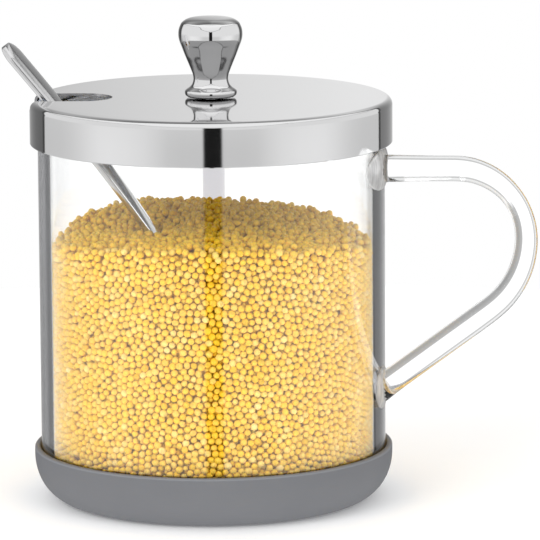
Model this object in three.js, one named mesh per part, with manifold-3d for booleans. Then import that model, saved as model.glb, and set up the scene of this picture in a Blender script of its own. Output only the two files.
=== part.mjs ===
// Glass spice jar with a looped glass handle, a silicone foot, a notched steel lid and a spoon.
// Units are millimetres, +Z is up and the origin is on the jar's axis, under the silicone foot.
// +X points to the handle. The lid's notch and the leaning spoon share one bearing round the axis.
import * as THREE from 'three';
import { mergeVertices } from 'three/addons/utils/BufferGeometryUtils.js';
import Module from 'manifold-3d';

const wasm = await Module();
wasm.setup();

// Clearances
const seatGap = 0.3;            // between pieces that rest on, or run past, each other
const overrun = 2;              // how far every cutter runs past what it cuts
const weldTolerance = 0.0005;   // vertices nearer than this are one vertex

// Glass cup
const glassRadius = 42.3;
const glassWall = 2.86;
const glassFloor = 4;
const cupHeight = 94.3;
const cupCorner = 7.6;          // outer radius between the floor and the wall
const cupInnerCorner = 4.5;

// Glass handle: a bar, a bend of two radii and a straight run back to the wall
const rodThickness = 6.4;
const handleBarHeight = 80.5;   // above the underside of the cup, at the centre of the rod
const handleBarDip = 0.5;       // how much lower the bar starts at the wall
const handleReach = 35.55;      // from the wall to the centre of the rod at its furthest
const bendUpperRadius = 16.6;
const bendLowerRadius = 22;
const diagonalAngle = 37.1;     // of the straight run, degrees from level
const upperPad = { width: 23.6, height: 10.2, bulge: 1.1 };
const lowerPad = { width: 12.5, height: 10.4, bulge: 1 };
// [share of the way along the rod, share of the rod's thickness]
const rodThicknessShares = [
  [0, 1.12], [0.06, 1.05], [0.12, 1.01], [0.2, 1], [0.27, 0.92], [0.34, 0.82], [0.4, 0.82],
  [0.46, 0.86], [0.52, 0.89], [0.6, 0.93], [0.7, 0.98], [0.95, 0.98], [1, 1.05],
];

// Silicone foot
const footWall = 1.35;
const footFloor = 2;
const footHeight = 13.17;
const footCorner = { width: 9.1, height: 11.2 };
const footLip = 0.45;           // rounding of the lip

// Steel lid
const sheet = 0.6;
const lidDepth = 10.85;
const lidCorner = 1.8;
const notchWidth = 14;
const notchInnerEnd = 24;       // from the axis to the closed end
const notchSill = 2.8;          // how far the open end is cut down from the top
const notchBearing = 190;       // degrees round the axis from +X

// Silicone ring inside the lid, split at the notch
const sealThickness = 1;
const sealInset = 0.6;          // how far it reaches in past the bore of the glass
const sealLip = 4;              // depth of the skirt between glass and steel
const sealLipThickness = 0.68;

// Knob, washer and screw
const knobRadius = 7.8;
const knobHeight = 19.4;
const screwRadius = 2;
const screwGrip = 7;            // length of screw inside the knob
const screwHeadRadius = 3.9;
const screwHeadHeight = 2.3;
const washerRadius = 5.2;
const washerThickness = 0.8;
// [share of the knob's radius, share of its height], from the collar up to the crown
const knobShares = [
  [0.74, 0], [0.795, 0.02], [0.812, 0.05], [0.8, 0.072], [0.74, 0.094], [0.655, 0.118], [0.593, 0.146],
  [0.56, 0.178], [0.54, 0.222], [0.558, 0.274], [0.602, 0.326], [0.705, 0.428], [0.81, 0.53], [0.907, 0.633],
  [0.956, 0.684], [0.99, 0.735], [1, 0.783], [0.99, 0.837], [0.949, 0.888], [0.875, 0.936], [0.69, 0.978],
  [0.41, 0.994], [0, 1],
];

// Spoon
const spoonLength = 131.8;
const spoonThickness = 1.25;
const bowlLength = 36;
const bowlWidth = 23;
const bowlDepth = 5.5;
const neckWidth = 4.6;
const gripWidth = 8.6;
const gripArch = 0.8;           // rise of the grip's middle over a straight line
const spoonTipReach = 30.3;     // from the axis to the tip of the bowl
const spoonRoll = 8.5;          // degrees about its own length
const bowlWidestShare = 0.45;   // of the bowl's length, from the tip
const neckLengthShare = 0.12;   // of the spoon's length, past the bowl
// [share of half the width, share of the thickness] round one half of the section, edge to edge
const spoonSectionShares = [
  [-1, 0.25], [-0.88, 0.5], [-0.45, 0.5], [0, 0.5], [0.45, 0.5], [0.88, 0.5], [1, 0.25],
];

// Grain: a low ridge across the notch's bearing, with a hollow where the spoon goes in
const heapCrest = 62.3;         // above the inner floor of the glass
const heapSideFall = 4.3;       // from the crest to the wall, along the notch's bearing
const heapEndFall = 0.8;        // from the crest to the wall, along the ridge
const heapFlatness = 2.3;       // power of the fall to the sides
const heapShift = 0.8;          // of the ridge from the axis, along the notch's bearing
const hollowDepth = 2.7;
const hollowReach = 15;         // from the axis, along the notch's bearing
const hollowLength = 8;
const hollowFront = 9;
const hollowBack = 7;

// Fineness
const roundSteps = 64;
const heapSteps = 32;
const knobSteps = 30;
const smallSteps = 24;
const arcSteps = 6;
const knobCurveSteps = 26;
const rodSides = 12;
const rodSteps = 44;
const padSteps = 20;
const heapRings = 12;
const bowlStations = 14;
const gripStations = 8;
const tipStations = 5;

// Heights that follow from the sizes above
const cupZ = footFloor + seatGap;
const floorZ = cupZ + glassFloor;
const rimZ = cupZ + cupHeight;
const boreRadius = glassRadius - glassWall;
const lipInside = glassRadius + seatGap;
const lipOutside = lipInside + sealLipThickness;
const lidRadius = lipOutside + seatGap + sheet;
const lidUnderZ = rimZ + seatGap + sealThickness + seatGap;
const lidTopZ = lidUnderZ + sheet;
const knobZ = lidTopZ + seatGap;
const screwBoreRadius = screwRadius + seatGap;

// Materials
const glass = new THREE.MeshStandardMaterial({
  color: 0xdfe4e6, roughness: 0.04, metalness: 0, transparent: true, opacity: 0.35,
});
const mirrorSteel = new THREE.MeshStandardMaterial({ color: 0xcfd0d2, roughness: 0.12, metalness: 1 });
const plainSteel = new THREE.MeshStandardMaterial({ color: 0xb9babd, roughness: 0.3, metalness: 1 });
const greySilicone = new THREE.MeshStandardMaterial({ color: 0x83858a, roughness: 0.75, metalness: 0 });
const clearSilicone = new THREE.MeshStandardMaterial({ color: 0xd6d8da, roughness: 0.6, metalness: 0 });
const grain = new THREE.MeshStandardMaterial({ color: 0xf0cf62, roughness: 0.8, metalness: 0 });

// Makes one closed surface: equal vertices are joined, collapsed faces go and faces point outwards
function weld(geometry) {
  const bare = geometry.clone();
  bare.deleteAttribute('normal');
  bare.deleteAttribute('uv');
  const joined = mergeVertices(bare, weldTolerance);
  const faces = [];
  const old = joined.index.array;
  for (let i = 0; i < old.length; i += 3) {
    const [a, b, c] = [old[i], old[i + 1], old[i + 2]];
    if (a !== b && b !== c && c !== a) faces.push([a, b, c]);
  }
  const at = (i) => new THREE.Vector3().fromBufferAttribute(joined.attributes.position, i);
  const volume = faces.reduce((sum, [a, b, c]) => sum + at(a).dot(at(b).cross(at(c))), 0);
  joined.setIndex(faces.flatMap(([a, b, c]) => (volume < 0 ? [a, c, b] : [a, b, c])));
  return joined;
}

function solid(geometry) {
  const closed = weld(geometry);
  const vertProperties = new Float32Array(closed.attributes.position.array);
  const triVerts = new Uint32Array(closed.index.array);
  return new wasm.Manifold(new wasm.Mesh({ numProp: 3, vertProperties, triVerts }));
}

function surface(body) {
  const { vertProperties, triVerts } = body.getMesh();
  const geometry = new THREE.BufferGeometry();
  geometry.setAttribute('position', new THREE.BufferAttribute(vertProperties, 3));
  geometry.setIndex(new THREE.BufferAttribute(triVerts, 1));
  return geometry;
}

function piece(name, geometry, material) {
  geometry.computeVertexNormals();
  const mesh = new THREE.Mesh(geometry, material);
  mesh.name = name;
  return mesh;
}

// Points of an arc in the profile plane, angles in degrees from the outward direction
function arc(radius, height, size, from, to, steps = arcSteps) {
  return Array.from({ length: steps + 1 }, (_, i) => {
    const angle = THREE.MathUtils.degToRad(from + ((to - from) * i) / steps);
    return new THREE.Vector2(radius + size * Math.cos(angle), height + size * Math.sin(angle));
  });
}

// A profile of [radius, height] turned round the vertical axis
function turned(profile, steps = roundSteps) {
  return new THREE.LatheGeometry(profile, steps).rotateX(Math.PI / 2);
}

function point(radius, height) {
  return new THREE.Vector2(radius, height);
}

// A closed skin through equal rings of points, with a fan over each end
function loft(rings) {
  const count = rings[0].length;
  const middle = (ring) => ring.reduce((sum, p) => sum.add(p), new THREE.Vector3()).divideScalar(count);
  const points = [...rings.flat(), middle(rings[0]), middle(rings.at(-1))];
  const faces = [];
  for (let j = 0; j < count; j += 1) {
    const k = (j + 1) % count;
    for (let i = 0; i + 1 < rings.length; i += 1) {
      const [a, b, c, d] = [i * count + j, i * count + k, (i + 1) * count + k, (i + 1) * count + j];
      faces.push(a, b, c, a, c, d);
    }
    const last = (rings.length - 1) * count;
    faces.push(points.length - 2, k, j, points.length - 1, last + j, last + k);
  }
  return new THREE.BufferGeometry().setFromPoints(points).setIndex(faces);
}

// Straight-line reading of a table of [position, value] pairs
function read(table, position) {
  const next = table.findIndex(([at]) => at >= position);
  if (next <= 0) return table.at(next)[1];
  const [[a, low], [b, high]] = [table[next - 1], table[next]];
  return low + ((high - low) * (position - a)) / (b - a);
}

function glassBody() {
  const rimRadius = glassWall / 2;
  return turned([
    point(0, cupZ),
    ...arc(glassRadius - cupCorner, cupZ + cupCorner, cupCorner, -90, 0),
    ...arc(glassRadius - rimRadius, rimZ - rimRadius, rimRadius, 0, 180),
    ...arc(boreRadius - cupInnerCorner, floorZ + cupInnerCorner, cupInnerCorner, 0, -90),
    point(0, floorZ),
  ]);
}

// The rod's centre line: out from the wall, down round the bend and straight back to the wall
function handleLine() {
  const barZ = cupZ + handleBarHeight;
  const furthest = glassRadius + handleReach;
  const sideZ = barZ - bendUpperRadius;
  const upper = arc(furthest - bendUpperRadius, sideZ, bendUpperRadius, 90, 0, 2 * arcSteps);
  const lower = arc(furthest - bendLowerRadius, sideZ, bendLowerRadius, 0, diagonalAngle - 90, arcSteps);
  const leave = lower.at(-1);
  const run = leave.x - boreRadius;
  const drop = run * Math.tan(THREE.MathUtils.degToRad(diagonalAngle));
  const ends = [point(boreRadius, barZ - handleBarDip), point(boreRadius, leave.y - drop)];
  const middle = point((leave.x + boreRadius) / 2, leave.y - drop / 2);
  const flat = [ends[0], ...upper, ...lower.slice(1), middle, ends[1]];
  const points = flat.map(({ x, y }) => new THREE.Vector3(x, 0, y));
  return new THREE.CatmullRomCurve3(points, false, 'centripetal');
}

function handleRod() {
  const line = handleLine();
  const across = new THREE.Vector3(0, 1, 0);
  const rings = Array.from({ length: rodSteps + 1 }, (_, i) => {
    const centre = line.getPointAt(i / rodSteps);
    const inward = line.getTangentAt(i / rodSteps).cross(across);
    const radius = (rodThickness * read(rodThicknessShares, i / rodSteps)) / 2;
    return Array.from({ length: rodSides }, (__, j) => {
      const angle = (2 * Math.PI * j) / rodSides;
      return centre.clone()
        .addScaledVector(inward, radius * Math.cos(angle))
        .addScaledVector(across, radius * Math.sin(angle));
    });
  });
  return loft(rings);
}

// A shallow oval of fused glass, bent to follow the wall of the cup
function pad({ width, height, bulge }, z) {
  const geometry = new THREE.SphereGeometry(1, padSteps, padSteps / 2).rotateX(Math.PI / 2);
  const place = geometry.attributes.position;
  for (let i = 0; i < place.count; i += 1) {
    const turn = (place.getY(i) * width) / 2 / glassRadius;
    const radius = glassRadius + place.getX(i) * bulge;
    place.setXYZ(i, radius * Math.cos(turn), radius * Math.sin(turn), z + (place.getZ(i) * height) / 2);
  }
  return geometry;
}

function glassHandle() {
  const line = handleLine();
  const upperZ = line.getPoint(0).z;
  const lowerZ = line.getPoint(1).z + glassWall * Math.tan(THREE.MathUtils.degToRad(diagonalAngle));
  const wallSide = turned([
    point(0, cupZ), point(glassRadius + seatGap, cupZ), point(glassRadius + seatGap, rimZ), point(0, rimZ),
  ]);
  return surface(
    solid(handleRod())
      .add(solid(pad(upperPad, upperZ)))
      .add(solid(pad(lowerPad, lowerZ)))
      .subtract(solid(wallSide)),
  );
}

function siliconeFoot() {
  const outer = glassRadius + seatGap + footWall;
  const inner = glassRadius + seatGap;
  const innerCorner = cupCorner + seatGap;
  const bend = ({ x, y }) => point(outer - footCorner.width * (1 - x), footCorner.height * (1 + y));
  return turned([
    point(0, 0),
    ...arc(0, 0, 1, -90, 0, arcSteps + 2).map(bend),
    ...arc(outer - footLip, footHeight - footLip, footLip, 0, 90, 2),
    point(inner, footHeight),
    ...arc(inner - innerCorner, footFloor + innerCorner, innerCorner, 0, -90),
    point(0, footFloor),
  ]);
}

// The U-shaped cutter of the notch, from a height up past the lid
function notchCutter(bottom, top) {
  const half = notchWidth / 2;
  const outline = new THREE.Shape();
  outline.moveTo(lidRadius + overrun, -half);
  outline.lineTo(lidRadius + overrun, half);
  outline.absarc(notchInnerEnd + half, 0, half, Math.PI / 2, (3 * Math.PI) / 2, false);
  outline.closePath();
  const settings = { depth: top - bottom, bevelEnabled: false, curveSegments: 2 * arcSteps };
  return new THREE.ExtrudeGeometry(outline, settings)
    .translate(0, 0, bottom)
    .rotateZ(THREE.MathUtils.degToRad(notchBearing));
}

function lidShell() {
  const skirtZ = lidTopZ - lidDepth;
  const cornerRadius = lidRadius - lidCorner;
  const shell = turned([
    point(screwBoreRadius, lidTopZ),
    ...arc(cornerRadius, lidTopZ - lidCorner, lidCorner, 90, 0),
    point(lidRadius, skirtZ),
    point(lidRadius - sheet, skirtZ),
    ...arc(cornerRadius, lidTopZ - lidCorner, lidCorner - sheet, 0, 90),
    point(screwBoreRadius, lidUnderZ),
    point(screwBoreRadius, lidTopZ),
  ]);
  return surface(solid(shell).subtract(solid(notchCutter(lidTopZ - notchSill, lidTopZ + overrun))));
}

function lidSeal() {
  const bottom = rimZ + seatGap;
  const corner = lidCorner - sheet;
  const ring = turned([
    point(boreRadius - sealInset, bottom),
    point(lipInside, bottom),
    point(lipInside, bottom - sealLip),
    point(lipOutside, bottom - sealLip),
    ...arc(lipOutside - corner, bottom + sealThickness - corner, corner, 0, 90, arcSteps / 2),
    point(boreRadius - sealInset, bottom + sealThickness),
    point(boreRadius - sealInset, bottom),
  ]);
  return surface(solid(ring).subtract(solid(notchCutter(bottom - sealLip - overrun, lidTopZ))));
}

function lidKnob() {
  const outline = knobShares.map(([r, h]) => point(r * knobRadius, knobZ + h * knobHeight));
  const curve = new THREE.SplineCurve(outline);
  const boreTop = knobZ + screwGrip + seatGap;
  return turned([
    point(0, boreTop),
    point(screwBoreRadius, boreTop),
    point(screwBoreRadius, knobZ),
    ...curve.getPoints(knobCurveSteps),
  ], knobSteps);
}

function knobWasher() {
  const top = lidUnderZ - seatGap;
  return turned([
    point(screwBoreRadius, top - washerThickness),
    point(washerRadius, top - washerThickness),
    point(washerRadius, top),
    point(screwBoreRadius, top),
    point(screwBoreRadius, top - washerThickness),
  ], smallSteps);
}

function knobScrew() {
  const seat = lidUnderZ - seatGap - washerThickness - seatGap;
  const bottom = seat - screwHeadHeight;
  const edge = screwHeadHeight / 2;
  return turned([
    point(0, bottom),
    ...arc(screwHeadRadius - edge, bottom + edge, edge, -90, 0, arcSteps / 2),
    point(screwHeadRadius, seat),
    point(screwRadius, seat),
    point(screwRadius, knobZ + screwGrip),
    point(0, knobZ + screwGrip),
  ], smallSteps);
}

// Width of the spoon at a distance from the tip of its bowl
function spoonWidth(along) {
  const widest = bowlLength * bowlWidestShare;
  const gripEnd = spoonLength - gripWidth / 2;
  if (along < widest) {
    const inset = (widest - along) / widest;
    return bowlWidth * Math.sqrt(1 - inset * inset);
  }
  if (along < bowlLength) {
    const fall = THREE.MathUtils.smoothstep(along, widest, bowlLength);
    return THREE.MathUtils.lerp(bowlWidth, neckWidth, fall);
  }
  const spread = THREE.MathUtils.smoothstep(along, bowlLength + spoonLength * neckLengthShare, gripEnd);
  const width = THREE.MathUtils.lerp(neckWidth, gripWidth, spread);
  const past = Math.max(0, (along - gripEnd) / (spoonLength - gripEnd));
  return width * Math.sqrt(1 - past * past);
}

// How far the middle of the section sinks below its edges
function spoonHollow(along) {
  if (along >= bowlLength) return 0;
  return bowlDepth * Math.sin((Math.PI * along) / bowlLength);
}

// How far the grip arches up, towards the hollow side of the bowl
function spoonArch(along) {
  const share = THREE.MathUtils.clamp((along - bowlLength) / (spoonLength - bowlLength), 0, 1);
  return gripArch * Math.sin(Math.PI * share);
}

// The spoon along +Z from the tip of its bowl, its hollow face towards +X, grown by a clearance
function spoonSurface(grow = 0) {
  const gripStart = bowlLength + spoonLength * neckLengthShare;
  const gripEnd = spoonLength - gripWidth / 2;
  const inBowl = (i) => (bowlLength * (1 - Math.cos((Math.PI * (i + 1)) / (bowlStations + 1)))) / 2;
  const inGrip = (i) => gripStart + ((gripEnd - gripStart) * i) / gripStations;
  const inTip = (i) => gripEnd + (spoonLength - gripEnd) * Math.sin((Math.PI * i) / 2 / tipStations);
  const stations = [
    ...Array.from({ length: bowlStations }, (_, i) => inBowl(i)),
    bowlLength,
    ...Array.from({ length: gripStations }, (_, i) => inGrip(i)),
    ...Array.from({ length: tipStations }, (_, i) => inTip(i)),
  ];
  const stretch = (spoonLength + 2 * grow) / spoonLength;
  const rings = stations.map((along) => {
    const half = spoonWidth(along) / 2;
    const thick = spoonThickness + 2 * grow;
    const upper = spoonSectionShares.map(([y, x]) => [y, x]);
    const lower = spoonSectionShares.map(([y, x]) => [y, -x]).reverse();
    return [...upper, ...lower].map(([y, x]) => {
      const side = y * (half + grow);
      const sink = spoonHollow(along) * (1 - (side / half) ** 2);
      return new THREE.Vector3(x * thick - sink + spoonArch(along), side, along * stretch - grow);
    });
  });
  return loft(rings);
}

// Where the spoon lies: its tip on the glass floor, its underside on the inner edge of the rim
function spoonPlace() {
  const roll = THREE.MathUtils.degToRad(spoonRoll);
  const halfThick = spoonThickness / 2;
  const tip = point(-spoonTipReach, floorZ + seatGap + halfThick);
  const rim = point(glassRadius - glassWall / 2, rimZ - glassWall / 2);
  const span = rim.clone().sub(tip);
  const under = halfThick + (gripWidth / 2) * Math.sin(roll) - spoonArch(span.length());
  const stand = glassWall / 2 + seatGap + under;
  const lean = Math.atan2(span.x, span.y) - Math.asin(stand / span.length());
  return { tip, lean, roll };
}

const { tip: spoonTip, lean: spoonLean, roll: spoonTurn } = spoonPlace();

// Height of the heap over the inner floor
function heapHeight(x, y) {
  const bearing = THREE.MathUtils.degToRad(notchBearing);
  const along = x * Math.cos(bearing) + y * Math.sin(bearing);
  const across = -x * Math.sin(bearing) + y * Math.cos(bearing);
  const side = across > 0 ? hollowFront : hollowBack;
  const sideFall = heapSideFall * (Math.abs(along - heapShift) / boreRadius) ** heapFlatness;
  const endFall = heapEndFall * (across / boreRadius) ** 2;
  const away = ((along - hollowReach) / hollowLength) ** 2 + (across / side) ** 2;
  return heapCrest - sideFall - endFall - hollowDepth * Math.exp(-away);
}

function milletFill(spoonGroup) {
  const outer = boreRadius - seatGap;
  const corner = cupInnerCorner - seatGap;
  const bottom = floorZ + seatGap;
  const inwards = Array.from({ length: heapRings + 1 }, (_, i) => outer * (1 - i / heapRings));
  const profile = [
    point(0, bottom),
    ...arc(outer - corner, bottom + corner, corner, -90, 0, 2),
    ...inwards.map((radius) => point(radius, floorZ + heapCrest)),
  ];
  const geometry = turned(profile, heapSteps);
  const place = geometry.attributes.position;
  for (let i = 0; i < place.count; i += 1) {
    if (place.getZ(i) > floorZ + heapCrest / 2) place.setZ(i, floorZ + heapHeight(place.getX(i), place.getY(i)));
  }
  const room = spoonSurface(seatGap);
  spoonGroup.updateWorldMatrix(true, true);
  room.applyMatrix4(spoonGroup.children[0].matrixWorld);
  return surface(solid(geometry).subtract(solid(room)));
}

// Assembly: the spoon's nested group turns to the notch's bearing, leans and rolls about its length
const spoonSeat = new THREE.Group();
spoonSeat.name = 'spoon_seat';
spoonSeat.rotation.z = THREE.MathUtils.degToRad(notchBearing);
const spoonLeaning = new THREE.Group();
spoonLeaning.position.set(spoonTip.x, 0, spoonTip.y);
spoonLeaning.rotation.y = spoonLean;
const spoon = piece('spoon', weld(spoonSurface()), plainSteel);
spoon.rotation.z = Math.PI - spoonTurn;
spoonLeaning.add(spoon);
spoonSeat.add(spoonLeaning);

const jar = new THREE.Group();
jar.name = 'jar';
jar.add(
  piece('glass_body', weld(glassBody()), glass),
  piece('glass_handle', glassHandle(), glass),
  piece('silicone_base', weld(siliconeFoot()), greySilicone),
  piece('millet_fill', milletFill(spoonLeaning), grain),
);

const lid = new THREE.Group();
lid.name = 'lid';
lid.add(
  piece('lid_shell', lidShell(), mirrorSteel),
  piece('lid_seal', lidSeal(), clearSilicone),
  piece('lid_knob', weld(lidKnob()), mirrorSteel),
  piece('knob_washer', weld(knobWasher()), plainSteel),
  piece('knob_screw', weld(knobScrew()), plainSteel),
);

const spiceJar = new THREE.Group();
spiceJar.name = 'spice_jar';
spiceJar.add(jar, lid, spoonSeat);

export default spiceJar;
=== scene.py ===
# Looks of a glass spice jar: looped glass handle, silicone foot, notched steel lid, spoon and millet.
# Metres, +Z up, the origin under the foot on the jar's axis, +X towards the handle.
import itertools
import math
import bpy
import numpy as np
from mathutils import Matrix, Vector


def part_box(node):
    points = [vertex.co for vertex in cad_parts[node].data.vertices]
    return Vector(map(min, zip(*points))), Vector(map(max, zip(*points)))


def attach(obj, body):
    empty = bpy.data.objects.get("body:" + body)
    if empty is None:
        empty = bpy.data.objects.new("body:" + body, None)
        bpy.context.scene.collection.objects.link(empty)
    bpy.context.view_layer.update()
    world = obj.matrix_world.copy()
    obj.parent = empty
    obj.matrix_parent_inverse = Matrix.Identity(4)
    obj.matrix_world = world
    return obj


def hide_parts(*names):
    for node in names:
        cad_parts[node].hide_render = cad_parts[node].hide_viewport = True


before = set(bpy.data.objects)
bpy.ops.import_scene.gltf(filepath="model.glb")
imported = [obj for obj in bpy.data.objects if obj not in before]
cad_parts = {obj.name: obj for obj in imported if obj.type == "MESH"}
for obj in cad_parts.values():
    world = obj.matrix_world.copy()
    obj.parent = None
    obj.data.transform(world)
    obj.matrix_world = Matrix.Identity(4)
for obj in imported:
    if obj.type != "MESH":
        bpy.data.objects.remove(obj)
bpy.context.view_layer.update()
mm = 0.001
clearance = 0.3 * mm          # between neighbouring solids of the frame

glassLow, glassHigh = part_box("glass_body")
knobLow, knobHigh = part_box("lid_knob")
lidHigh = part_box("lid_shell")[1]
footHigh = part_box("silicone_base")[1]
glassRadius = glassHigh.y
cupZ = glassLow.z
rimZ = glassHigh.z
print("frame loaded")


# Curves and meshes

# A quarter or other stretch of a circle: x = cx + r cos t, z = cz + r sin t, t in degrees
def arc(cx, cz, r, start, end, steps=12):
    t = np.radians(np.linspace(start, end, steps + 1))
    return np.stack([cx + r * np.cos(t), cz + r * np.sin(t)], 1)


# Points at equal steps along a polyline
def evenly(points, count):
    run = np.r_[0, np.cumsum(np.linalg.norm(np.diff(points, axis=0), axis=1))]
    at = np.linspace(0, run[-1], count)
    return np.stack([np.interp(at, run, points[:, k]) for k in range(points.shape[1])], 1)


# A cubic through the points (Catmull-Rom): p = half the sum of the blending terms of four neighbours
def smoothCurve(points, steps):
    p = np.asarray(points, float)
    p = np.vstack([2 * p[0] - p[1], p, 2 * p[-1] - p[-2]])
    t = np.linspace(0, 1, steps, endpoint=False)[None, :, None]
    a, b, c, d = (p[k:len(p) - 3 + k, None, :] for k in range(4))
    curve = 0.5 * (2 * b + (c - a) * t + (2 * a - 5 * b + 4 * c - d) * t ** 2
                   + (3 * b - a - 3 * c + d) * t ** 3)
    return np.vstack([curve.reshape(-1, p.shape[1]), p[-2]])


def meshFrom(name, points, faces, smooth=True):
    mesh = bpy.data.meshes.new(name)
    mesh.from_pydata(points.tolist(), [], faces)
    mesh.update()
    obj = bpy.data.objects.new(name, mesh)
    bpy.context.scene.collection.objects.link(obj)
    if smooth:
        mesh.shade_smooth()
    return obj


# Quads between rows of points. Each row closes on itself, and the last row can join the first
def gridFaces(rows, columns, closeRows=False):
    i = np.arange(rows if closeRows else rows - 1)[:, None]
    j = np.arange(columns)[None, :]
    i2, j2 = (i + 1) % rows, (j + 1) % columns
    quads = np.stack([i * columns + j, i * columns + j2, i2 * columns + j2, i2 * columns + j], 2)
    return quads.reshape(-1, 4).tolist()


# Fans from the first and the last row of such a grid to the two points that follow it
def capFaces(rows, columns):
    j = np.arange(columns)
    k = (j + 1) % columns
    last, middle = (rows - 1) * columns, 0 * j + rows * columns
    return np.vstack([np.stack([k, j, middle], 1), np.stack([last + j, last + k, middle + 1], 1)]).tolist()


# A profile of [radius, height] turned about Z: (r cos u, r sin u, z). It closes on the axis or on itself
def turned(name, profile, segments, ring=False):
    u = np.linspace(0, 2 * math.pi, segments, endpoint=False)
    profile = np.asarray(profile, float)
    body = profile if ring else profile[1:-1]
    r, z = body[:, :1], body[:, 1:]
    points = np.stack([r * np.cos(u), r * np.sin(u), z + 0 * u], 2).reshape(-1, 3)
    faces = gridFaces(len(body), segments, closeRows=ring)
    if not ring:
        points = np.vstack([points, [0, 0, profile[0, 1]], [0, 0, profile[-1, 1]]])
        faces += capFaces(len(body), segments)
    return outward(meshFrom(name, points, faces))


# Rings of equal length skinned one after another, with a fan over each end
def lofted(name, rings):
    rows, columns = rings.shape[:2]
    points = np.vstack([rings.reshape(-1, 3), rings[0].mean(0), rings[-1].mean(0)])
    return outward(meshFrom(name, points, gridFaces(rows, columns) + capFaces(rows, columns)))


# Turns the faces of a closed mesh outwards: a negative signed volume means that they face in
def outward(obj):
    mesh = obj.data
    mesh.calc_loop_triangles()
    points = np.empty(len(mesh.vertices) * 3)
    mesh.vertices.foreach_get("co", points)
    index = np.empty(len(mesh.loop_triangles) * 3, np.int64)
    mesh.loop_triangles.foreach_get("vertices", index)
    a, b, c = points.reshape(-1, 3)[index.reshape(-1, 3)].transpose(1, 0, 2)
    if np.einsum("ij,ij->", a, np.cross(b, c)) < 0:
        mesh.flip_normals()
    return obj


def boolean(obj, other, operation):
    modifier = obj.modifiers.new(operation.lower(), "BOOLEAN")
    modifier.object = other
    modifier.operation = operation
    modifier.solver = "EXACT"
    bpy.context.view_layer.objects.active = obj
    bpy.ops.object.modifier_apply(modifier=modifier.name)
    bpy.data.objects.remove(other)


# Smooth, but sharp where two faces meet at more than the angle in degrees
def crease(obj, angle):
    obj.data.shade_smooth()
    obj.data.set_sharp_from_angle(angle=math.radians(angle))


# Each face's distance from the Z axis, and its centre
def faceCentres(obj):
    centre = np.empty(len(obj.data.polygons) * 3)
    obj.data.polygons.foreach_get("center", centre)
    centre = centre.reshape(-1, 3)
    return np.hypot(centre[:, 0], centre[:, 1]), centre


# The first material covers the piece, and the others are for faces that are given to them
def place(obj, body, slot, materials, *nodes):
    obj.data.materials.clear()
    for material in materials:
        obj.data.materials.append(material)
    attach(obj, body)
    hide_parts(*nodes)


# Shader helpers

def grey(level):
    return (level, level, level)


def add(tree, kind, **values):
    node = tree.nodes.new(kind)
    for key, value in values.items():
        setattr(node, key, value)
    return node


def feed(tree, socket, value):
    if isinstance(value, bpy.types.NodeSocket):
        tree.links.new(value, socket)
    else:
        socket.default_value = value


def calc(tree, operation, *values):
    node = add(tree, "ShaderNodeMath", operation=operation)
    for socket, value in zip(node.inputs, values):
        feed(tree, socket, value)
    return node.outputs[0]


# Stops of [position, grey or colour]
def ramp(tree, value, stops):
    node = add(tree, "ShaderNodeValToRGB")
    feed(tree, node.inputs[0], value)
    elements = node.color_ramp.elements
    while len(elements) < len(stops):
        elements.new(0.5)
    for element, (position, colour) in zip(elements, stops):
        element.position = position
        element.color = (*(grey(colour) if isinstance(colour, (int, float)) else colour), 1)
    return node.outputs[0]


def blendColour(tree, factor, a, b, kind="MIX"):
    node = add(tree, "ShaderNodeMix", data_type="RGBA", blend_type=kind)
    feed(tree, node.inputs["Factor"], factor)
    for socket, value in ((node.inputs[6], a), (node.inputs[7], b)):
        feed(tree, socket, value if isinstance(value, bpy.types.NodeSocket) else (*value, 1))
    return node.outputs[2]


def noise(tree, vector, scale, detail=3, roughness=0.5):
    node = add(tree, "ShaderNodeTexNoise")
    feed(tree, node.inputs["Vector"], vector)
    feed(tree, node.inputs["Scale"], scale)
    feed(tree, node.inputs["Detail"], detail)
    feed(tree, node.inputs["Roughness"], roughness)
    return node.outputs["Fac"]


def bump(tree, height, strength, distance):
    node = add(tree, "ShaderNodeBump")
    feed(tree, node.inputs["Height"], height)
    feed(tree, node.inputs["Strength"], strength)
    feed(tree, node.inputs["Distance"], distance)
    return node.outputs["Normal"]


def objectPlace(tree):
    return add(tree, "ShaderNodeTexCoord").outputs["Object"]


def stretched(tree, vector, scale):
    node = add(tree, "ShaderNodeMapping")
    feed(tree, node.inputs["Vector"], vector)
    node.inputs["Scale"].default_value = scale
    return node.outputs[0]


def split(tree, vector):
    node = add(tree, "ShaderNodeSeparateXYZ")
    feed(tree, node.inputs[0], vector)
    return node.outputs


def newMaterial(name, **values):
    material = bpy.data.materials.new(name)
    material.use_nodes = True
    tree = material.node_tree
    shader = next(n for n in tree.nodes if n.type == "BSDF_PRINCIPLED")
    for key, value in values.items():
        words = "".join(" " + c if c.isupper() else c for c in key).title()
        socket = shader.inputs[words.replace("Ior", "IOR")]
        socket.default_value = (*value, 1) if isinstance(value, tuple) else value
    return material, tree, shader


def newGroup(name, inputs, outputs):
    group = bpy.data.node_groups.new(name, "ShaderNodeTree")
    for label, kind, value in inputs:
        socket = group.interface.new_socket(label, in_out="INPUT", socket_type=kind)
        if value is not None:
            socket.default_value = value
    for label, kind in outputs:
        group.interface.new_socket(label, in_out="OUTPUT", socket_type=kind)
    return group, group.nodes.new("NodeGroupInput").outputs, group.nodes.new("NodeGroupOutput").inputs


def useGroup(tree, group, **values):
    node = add(tree, "ShaderNodeGroup", node_tree=group)
    for key, value in values.items():
        feed(tree, node.inputs[key], value)
    return node.outputs


# Camera and studio

view = {
    "azimuth": 12.0,              # degrees round from the handle's side view
    "elevation": 9.793,
    "distance": 1268.2 * mm,
    "aimAcross": 14.11 * mm,      # of the aimed point from the jar's axis, across the picture
    "aimHeight": 56.0 * mm,
    "lens": 345.4,
    "roll": -0.364,
}


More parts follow.
